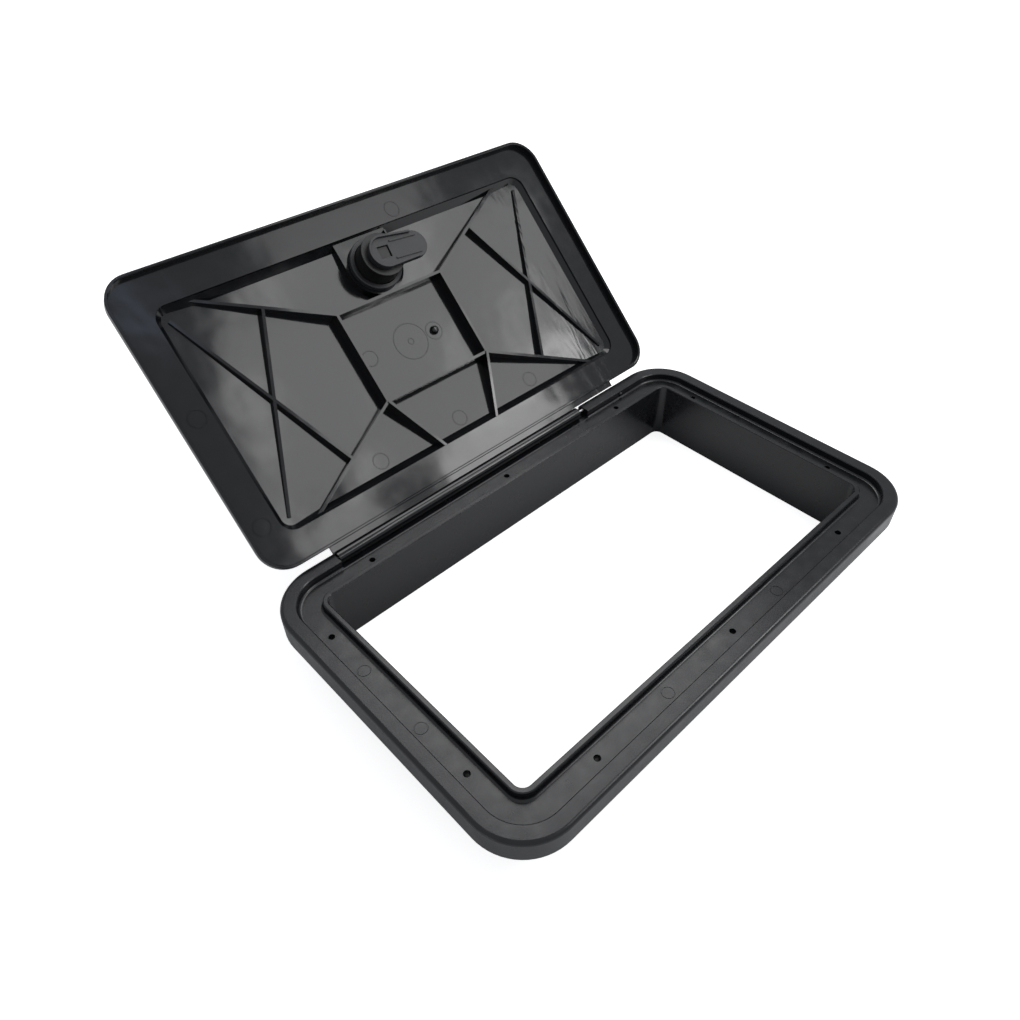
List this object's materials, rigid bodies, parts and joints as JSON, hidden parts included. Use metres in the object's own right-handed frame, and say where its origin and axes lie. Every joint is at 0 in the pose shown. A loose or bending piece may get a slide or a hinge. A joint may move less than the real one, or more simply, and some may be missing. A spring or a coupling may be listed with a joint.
{
  "type": "access hatch",
  "caption": "Rectangular access hatch with a screw-down surround, a hinged ribbed lid and a turn lock, shown open.",
  "frame": {"origin": "middle of the opening, on the plane where the surround seats on the wall", "axes": "+X along the hinge, +Y towards the hinge side, +Z out of the wall"},
  "size_m": [0.375, 0.3735, 0.1869],
  "materials": {
    "surround_abs": "satin moulded",
    "lid_abs": "gloss moulded",
    "pin_steel": "drawn wire",
    "lock_nylon": "satin moulded",
    "nut_nylon": "satin moulded",
    "lever_nylon": "satin moulded"
  },
  "bodies": {
    "surround": {"surround_frame": "surround_abs", "hinge_pin": "pin_steel"},
    "lid": {"hatch_lid": "lid_abs", "lock_housing": "lock_nylon", "lock_nut": "nut_nylon"},
    "lever": {"lock_plug": "lock_nylon", "lock_lever": "lever_nylon"}
  },
  "joints": [
    {"name": "lid_hinge", "type": "hinge", "parent": "surround", "child": "lid", "pos_m": [0, 0.1078, 0.014], "axis": [1, 0, 0], "range_deg": [0, 136.4]},
    {"name": "lock_turn", "type": "hinge", "parent": "lid", "child": "lever", "pos_m": [0, 0.21459, 0.13503], "axis": [0, -0.6896, 0.7242], "range_deg": [0, 95]}
  ]
}
